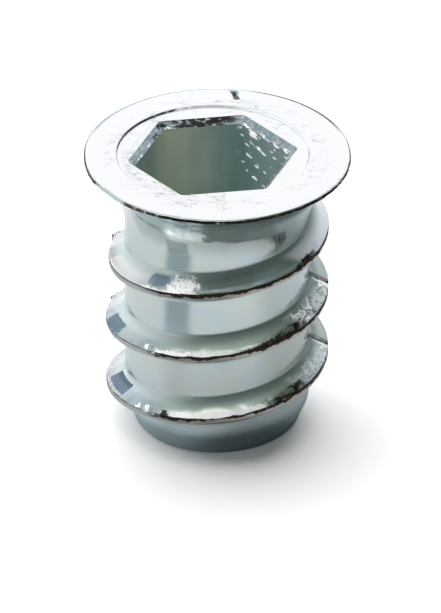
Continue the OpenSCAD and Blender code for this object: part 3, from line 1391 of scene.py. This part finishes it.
        # painted dark reflection along the edge of the rim, lighter behind
        back = self.zone(r=(7.72, 7.78), y=(2.0, 4.0))
        edge = graph.clamped(self.zone(upward=(0.97, 0.9)) + back)
        edge = edge * self.zone(
            r=(7.65, 7.7), upward=(0.15, 0.3), y=(-4.0, 0.0), below=(0.25, 0.15))
        behind = self.zone(y=(2.0, 4.0), x=(2.6, 1.6))
        self.paint(edge * 0.95, graph.mix(behind, look.shade_and_grime, look.wall_shade))
        # painted shade in the nick
        nick = 1 - graph.step(abs(self.turned - 81.0 - (self.r - 7.1) * 4.0), 1.0, 1.8)
        nick = nick * self.zone(r=(6.65, 7.6, 0.12), y=(5.0, 6.0), below=(0.3, 0.25))
        self.paint(nick * 0.9, look.shade_and_grime)

    def paint_mouth(self) -> None:
        """Leaves the mouth of the socket and the recess as they were cast, with painted shade and
        light on the recess wall, painted shade on the back of the bevel and glowing chips.
        """
        look, graph, x, y = self.look, self.graph, self.x, self.y
        self.paint(self.on_mouth * self.zone(fleck=(0.36, 0.56)) * 0.95, look.bevel_grey)
        beside, along = y * 0.386 - x * 0.922 - 4.81, x * 0.386 + y * 0.922
        smear = graph.window(beside, -0.05, 0.34, 0.08) * graph.window(along, -2.9, 2.2, 0.3)
        self.paint(smear * self.on_top * self.zone(fleck=(0.3, 0.6)) * 0.75, look.cast_grey)
        # painted shade and glowing painted light on the recess wall
        self.paint(self.step_wall * 0.85, graph.mix(self.lit_share, look.shade_and_grime, look.lit_grey))
        brink = self.on_mouth * self.zone(y=(0.2, -0.6), below=(0.26, 0.36))
        self.paint(brink * self.zone(fleck=(0.3, 0.5)) * 0.8, look.worn)
        # glowing painted highlights on the chips
        self.paint(self.glinting_chips, look.bright)
        # painted shade along the back of the bevel
        ragged = self.lumps(x, y * 2.0, self.z * 2.5, 1.9, 3.0, 0.65)
        middle = graph.step(abs(x + 0.3), 2.6, 0.6) * 0.14
        back = self.on_mouth * self.zone(y=(1.9, 2.9), x=(1.9, 0.6))
        self.paint(back * graph.step(ragged + middle, 0.5, 0.58) * 0.95, look.shade_and_grime)

    def paint_socket(self) -> None:
        """Tints the walls of the socket, with painted shade on the left wall and glowing painted
        highlight specks.
        """
        look, mix = self.look, self.graph.mix
        side = self.zone(x=(-2.6, 1.6)) + (self.upright - 0.5) * 0.5 + (self.stain - 0.5) * 0.5
        wall = mix(self.graph.clamped(side), look.wall_olive, look.wall_teal)
        # painted shade on the left wall of the socket
        wall = mix(self.zone(x=(-3.0, -4.1)) * 0.8, wall, look.wall_shade)
        crust = self.zone(below=(1.5, 0.5), x=(1.6, 2.4))
        wall = mix(crust * self.zone(fleck=(0.35, 0.6)) * 0.7, wall, look.cast_grey)
        # the walls, with glowing painted highlight specks
        self.paint(self.in_socket, mix(self.highlight_specks, wall, look.bright))

    def paint_top(self) -> None:
        """Draws the thin wavering lines that trimming left on the top."""
        graph, x, y = self.graph, self.x, self.y
        lines = self.lumps(x * 0.35, y, 0.0, 0.8, 4.0, 0.6)
        lines = self.line(lines, 0.5, 0.003, 0.012) * self.on_top
        lines = lines * self.zone(r=(4.6, 6.7, 0.4), stain=(0.35, 0.6))
        side = self.zone(turned=(-205.0, -90.0, 12.0)) + self.zone(turned=(170.0, 176.0))
        hatch = self.lumps(x * 0.5 + y * 0.9, x * 0.12, 0.0, 5.0, 2.0, 0.5)
        hatch = self.line(hatch, 0.5, 0.006, 0.035) * graph.clamped(side) * self.on_top
        hatch = hatch * self.zone(r=(4.3, 5.7, 0.3), fleck=(0.4, 0.5))
        self.paint(graph.clamped(lines * 0.9 + hatch), self.look.line_grey)

    def roughness(self) -> bpy.types.NodeSocket:
        """How matt each zone is."""
        rough = 0.15 + self.broad * 0.06 + self.on_flank * 0.12 + self.on_crest * 0.25
        rough = rough + self.edge_line * 0.2 + self.on_ledge * 0.1
        rough = rough * (1 - self.on_top * 0.35) + self.on_nose * 0.12 + self.on_mouth * 0.18
        rough = rough + self.foot * 0.25 + self.low_foot * 0.35 + self.lip * 0.15
        rough = rough + self.step_wall * self.lit_share * 0.3
        rough = rough - self.zone(z=(13.4, 14.6)) * self.outside * 0.09 * (1 - self.on_flank)
        rough = rough * (1 - self.in_socket) + self.in_socket * (0.4 + self.upright * 0.1)
        return rough.link

    def metal(self) -> bpy.types.NodeSocket:
        """How much of a mirror each zone is, which dull marks and painted highlights lower."""
        in_bore = self.zone(r=(4.4, 4.2), z=(12.1, 11.9))
        in_dark_reflections = reduce(add, self.dark_reflections, 0.0)
        metal = 1 - self.in_socket * 0.75 - in_bore * 0.3 - self.lip * 0.92
        metal = metal - self.glint * 0.9 - self.gleam * 0.5 - self.step_wall * self.lit_share * 0.8
        metal = metal - self.on_top * 0.45
        ledge = self.on_ledge * self.right * (0.3 + self.turn * 0.35)
        metal = metal - ledge * (1 - self.rear * 0.5) - self.lit_clear_ledge * 0.65
        metal = metal - self.low_foot * (1 - self.graph.clamped(in_dark_reflections)) * 0.5 - self.glinting_chips * 0.5
        on_band = self.outside * self.zone(z=(14.9, 17.2, 0.3), turned=(-120.0, -40.0, 8.0))
        return (metal - on_band * (1 - self.on_flank) * 0.13).link

    def glow(self) -> bpy.types.NodeSocket:
        """Glow that paints light on the highlights: lip, glints, lit recess wall, lit ledge ends,
        curls, step highlight, specks and chips.
        """
        glow = self.lip * 0.14 + self.glint * 0.34 + self.gleam * 0.08
        glow = glow + self.step_wall * self.lit_share * 0.4
        glow = glow + self.lit_clear_ledge * 0.1 + self.curl_highlight * 0.2 + self.under_seam * 0.2
        glow = glow + self.highlight_specks * self.in_socket * 0.5 + self.glinting_chips * 0.3
        black, white = (0.0, 0.0, 0.0, 1.0), (1.0, 1.0, 1.0, 1.0)
        return self.graph.mix(self.graph.clamped(glow), black, white)

    def relief(self) -> bpy.types.NodeSocket:
        """Slow waves, peel, torn crests, rough ledges and mouth, too fine for the mesh."""
        waves = self.graph.noise(self.place, 0.8, 2.0) * 0.008
        peel = self.graph.noise(self.place, 4.5, 2.0) * 0.0008
        torn = (self.on_crest + self.edge_line) * self.streak * 0.02
        coarse = (self.on_ledge + self.on_mouth) * (self.fleck * 0.06 + self.grain * 0.012)
        coarse = coarse + self.glint * (self.fleck * 0.12 + self.grain * 0.02)
        height = (waves * (1 - self.on_top * 0.93) + peel) * (1 - self.in_socket * 0.6)
        bump = self.graph.node("ShaderNodeBump", inputs={
            "Height": height + torn + coarse, "Distance": MM, "Strength": 1.0})
        return bump.outputs[0]


@dataclass(frozen=True)
class CastInsert:
    """The whole casting: joins the sheets and adds the marks of casting and trimming."""

    sizes: InsertSizes
    thread: OuterThread
    ends: FlangeAndNose
    socket: DriveSocket
    bore: TappedBore
    finish: ZincFinish

    def close_ring(self, obj: bpy.types.Object, height: float) -> None:
        """Fills the level ring between the two open loops at a height."""
        with editing(obj) as mesh:
            count = select_rim(mesh, lambda p: abs(p.z - height) < 0.01 * MM)
            bpy.ops.mesh.fill(use_beauty=True)
            LOG.info("filled a ring between %d open edges", count)

    def build(self) -> bpy.types.Object:
        """Joins the sheets into one closed mesh."""
        s = self.sizes
        body = self.thread.build()
        body = self.ends.build(body, self.thread.low_cut, self.thread.high_cut)
        parts = [body, self.socket.build(), self.bore.build()]
        bpy.ops.object.select_all(action="DESELECT")
        for part in parts:
            part.select_set(True)
        bpy.context.view_layer.objects.active = body
        bpy.ops.object.join()
        body.name = body.data.name = "cast_insert"
        for height in (s.length - s.recess_depth, self.socket.floor_z, 0.0):
            self.close_ring(body, height)
        with editing(body, "VERT") as mesh:
            bpy.ops.mesh.select_all(action="SELECT")
            bpy.ops.mesh.remove_doubles(threshold=0.002 * MM)
            bpy.ops.mesh.normals_make_consistent(inside=False)
            bpy.ops.mesh.select_all(action="DESELECT")
            LOG.info("open edges left: %d", select_rim(mesh, lambda p: True))
        pick(body)
        bpy.ops.object.shade_smooth_by_angle(angle=math.radians(36.0))
        return body

    def dress(self, obj: bpy.types.Object) -> None:
        """Gives the casting its finish."""
        obj.data.materials.clear()
        obj.data.materials.append(self.finish.material())


# -------------------------------------------------------------- the studio


@dataclass(frozen=True)
class Glow:
    """A patch of the room as the polished metal sees it, in degrees round and up.

    Azimuth counts from +X towards +Y. Later patches cover earlier ones.
    """

    middle: float
    width: float
    low: float
    high: float
    tone: float
    soft: float = 4.0
    tint: tuple[float, float, float] = (1.0, 1.0, 1.0)

    @property
    def colour(self) -> Colour:
        """Light of the patch."""
        red, green, blue = (self.tone * part for part in self.tint)
        return (red, green, blue, 1.0)

    def share(self, graph: Graph, up: Sock, round_to: Sock) -> Sock:
        """How much of a direction the patch covers.

        Args:
            graph: The world's graph.
            up: Elevation of the direction.
            round_to: Azimuth of the direction.

        Returns:
            A share between 0 and 1.
        """
        turned = (round_to - (self.middle - 540.0)).join("MODULO", 360.0) - 180.0
        across = 1 - graph.step(abs(turned), self.width / 2.0 - self.soft * 1.5,
                                self.width / 2.0 + self.soft * 1.5)
        return across * graph.window(up, self.low, self.high, self.soft)


@dataclass(frozen=True)
class Studio:
    """The camera, the floor and the light."""

    sizes: InsertSizes
    paper_r: float = 0.023
    mirror_tone: float = 0.61
    plain_light: float = 0.1
    shade_x: float = 2.5 * MM
    shade_y: float = -5.0 * MM
    glows: tuple[Glow, ...] = (
        Glow(-72.0, 136.0, -20.0, 100.0, 0.17, 8.0, (0.83, 1.0, 0.94)),
        Glow(-28.0, 74.0, 42.0, 64.0, 0.31, 6.0, (0.92, 1.0, 0.88)),
        Glow(92.0, 110.0, -20.0, 62.0, 0.31, 2.0, (0.76, 1.0, 1.2)),
        Glow(150.0, 90.0, -20.0, 46.0, 0.62, 2.5, (0.97, 1.0, 1.02)),
        Glow(130.0, 40.0, 20.0, 45.0, 0.85, 3.0, (0.97, 1.0, 1.03)),
        Glow(180.0, 60.0, -20.0, 57.0, 0.48, 6.0, (0.93, 1.0, 1.04)),
        Glow(-157.0, 28.0, 2.0, 36.0, 2.0, 6.0),
        Glow(44.0, 50.0, -20.0, 38.0, 0.86, 6.0, (0.93, 1.0, 1.07)),
        Glow(90.0, 50.0, -20.0, 36.0, 1.3, 2.0, (1.12, 1.0, 0.98)),
        Glow(174.0, 66.0, 58.0, 76.0, 1.7, 2.0, (1.05, 1.0, 1.0)),
        Glow(-102.0, 126.0, 66.0, 87.0, 2.2, 3.0),
    )
    gloom: Colour = (0.035, 0.05, 0.048, 1.0)

    def camera(self) -> bpy.types.Object:
        """Adds the long lens camera that looks down on the insert."""
        aim = Vector((0.21 * MM, 0.0, self.sizes.length - 10.65 * MM))
        elevation, distance = math.radians(31.0), 0.535
        place = aim + distance * Vector((0.0, -math.cos(elevation), math.sin(elevation)))
        bpy.ops.object.camera_add(location=place, rotation=(math.pi / 2.0 - elevation, 0.0, 0.0))
        obj = bpy.context.object
        obj.name = "camera"
        obj.data.sensor_fit = "HORIZONTAL"
        obj.data.sensor_width = 36.0
        obj.data.lens = 725.0
        obj.data.clip_start = 0.01
        bpy.context.scene.camera = obj
        return obj

    def floor(self) -> bpy.types.Object:
        """Adds the pale floor. In reflections its colour is dimmer and carries a painted shadow by
        the insert, painted shade in front and to the sides, and a painted dark patch at the front
        left.
        """
        bpy.ops.object.select_all(action="DESELECT")
        bpy.ops.mesh.primitive_plane_add(size=4.0, location=(0.0, 0.0, -0.02 * MM))
        obj = bpy.context.object
        obj.name = "floor"
        graph = Graph.for_material("floor_paper", clear=True)
        paths = graph.node("ShaderNodeLightPath")
        camera = graph.sock(paths, "Is Camera Ray")
        mirror = graph.clamped(
            graph.sock(paths, "Is Glossy Ray") + graph.sock(paths, "Is Transmission Ray")
        )
        where = graph.node("ShaderNodeTexCoord")
        split = graph.node("ShaderNodeSeparateXYZ", inputs={0: where.outputs["Object"]})
        x, y = graph.sock(split, "X"), graph.sock(split, "Y")
        away = (x * x + y * y) ** 0.5
        front = graph.step((x - y) / away, -0.5, 0.1)
        near = graph.step(away, self.paper_r, self.paper_r * 2.0) * 0.6
        far = graph.step(away, self.paper_r * 3.0, self.paper_r * 6.0) * 0.4
        close = (1 - graph.step(away, 0.011, 0.022)) * 0.2
        edge = (near + far + close) * front * mirror
        # painted shadow by the insert, seen only in reflections
        to_shade = ((x - self.shade_x) ** 2 + (y - self.shade_y) ** 2) ** 0.5
        shade = 1 - mirror * 0.8 * (1 - graph.step(to_shade, 0.0015, 0.0058))
        round_to = y.join("ARCTAN2", x) * PER_RADIAN
        # painted dark patch at the front left, seen only in reflections
        dark = graph.window(round_to, -150.0, -120.5, 4.0)
        dark = dark * graph.window(away, 0.0185, 0.06, 0.0016)
        sides = graph.step(0 - x / away, 0.3, 0.8) * 0.13 + graph.step(x / away, 0.55, 0.95) * 0.24
        tone = (1 - mirror * (1 - self.mirror_tone)) * (1 - edge) * shade * (1 - mirror * sides)
        paper = graph.node("ShaderNodeBsdfDiffuse", inputs={
            "Color": graph.mix(mirror * dark * 0.85, graph.mix(
                tone, (0.0, 0.0, 0.0, 1.0), (0.86, 0.86, 0.865, 1.0)), (0.14, 0.19, 0.21, 1.0))})
        lift = graph.node(
            "ShaderNodeEmission",
            inputs={"Color": (1.0, 1.0, 1.0, 1.0), "Strength": camera * 0.08 + mirror * 0.06},
        )
        both = graph.node("ShaderNodeAddShader", inputs={0: paper.outputs[0], 1: lift.outputs[0]})
        graph.node("ShaderNodeOutputMaterial", inputs={"Surface": both.outputs[0]})
        obj.data.materials.append(graph.owner)
        return obj

    def room(self) -> None:
        """Sets the world: white to the camera, plain light, and bright patches for gloss."""
        world = bpy.data.worlds.new("studio")
        bpy.context.scene.world = world
        world.use_nodes = True
        graph = Graph(world.node_tree, world, clear=True)
        paths = graph.node("ShaderNodeLightPath")
        where = graph.node("ShaderNodeTexCoord")
        split = graph.node("ShaderNodeSeparateXYZ", inputs={0: where.outputs["Generated"]})
        x, y, z = (graph.sock(split, axis) for axis in ("X", "Y", "Z"))
        up = z.join("ARCSINE") * PER_RADIAN
        round_to = y.join("ARCTAN2", x) * PER_RADIAN
        seen: Any = self.gloom
        for glow in self.glows:
            seen = graph.mix(glow.share(graph, up, round_to), seen, glow.colour)
        mirror = graph.sock(paths, "Is Glossy Ray") + graph.sock(paths, "Is Transmission Ray")
        mirror = graph.clamped(mirror)
        camera = graph.sock(paths, "Is Camera Ray")
        strength = mirror + (1 - mirror) * (camera + (1 - camera) * self.plain_light)
        sky = graph.node("ShaderNodeBackground", inputs={
            "Color": graph.mix(mirror, (1.0, 1.0, 1.0, 1.0), seen), "Strength": strength})
        graph.node("ShaderNodeOutputWorld", inputs={"Surface": sky.outputs[0]})

    def lamp(self) -> bpy.types.Object:
        """Adds the large soft lamp, high on the left behind the insert."""
        turned, raised, distance = math.radians(118.0), math.radians(58.0), 0.5
        place = distance * Vector((
            math.cos(turned) * math.cos(raised), math.sin(turned) * math.cos(raised),
            math.sin(raised),
        ))
        bpy.ops.object.light_add(
            type="AREA", location=place, rotation=place.to_track_quat("Z", "Y").to_euler()
        )
        obj = bpy.context.object
        obj.name = "soft_lamp"
        obj.data.shape = "DISK"
        obj.data.size = 1.1
        obj.data.energy = 9.65
        obj.visible_glossy = False
        return obj

    def build(self) -> None:
        """Adds the camera, the floor, the world and the lamp."""
        self.camera()
        self.floor()
        self.room()
        self.lamp()


def main() -> None:
    """Loads the frame, builds the insert and the studio round it."""
    logging.basicConfig(level=logging.INFO, format="%(name)s: %(message)s")
    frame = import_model()
    sizes = InsertSizes.from_frame(frame["record"])
    thread, socket = OuterThread(sizes), DriveSocket(sizes)
    casting = CastInsert(
        sizes, thread, FlangeAndNose(sizes), socket, TappedBore(sizes, socket),
        ZincFinish(sizes, thread),
    )
    insert = casting.build()
    casting.dress(insert)
    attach(insert, "root")
    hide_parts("insert")
    Studio(sizes).build()
    scene = bpy.context.scene
    scene.view_settings.view_transform = "Standard"
    LOG.info("triangles: %d", sum(len(p.vertices) - 2 for p in insert.data.polygons))


if __name__ == "__main__":
    main()
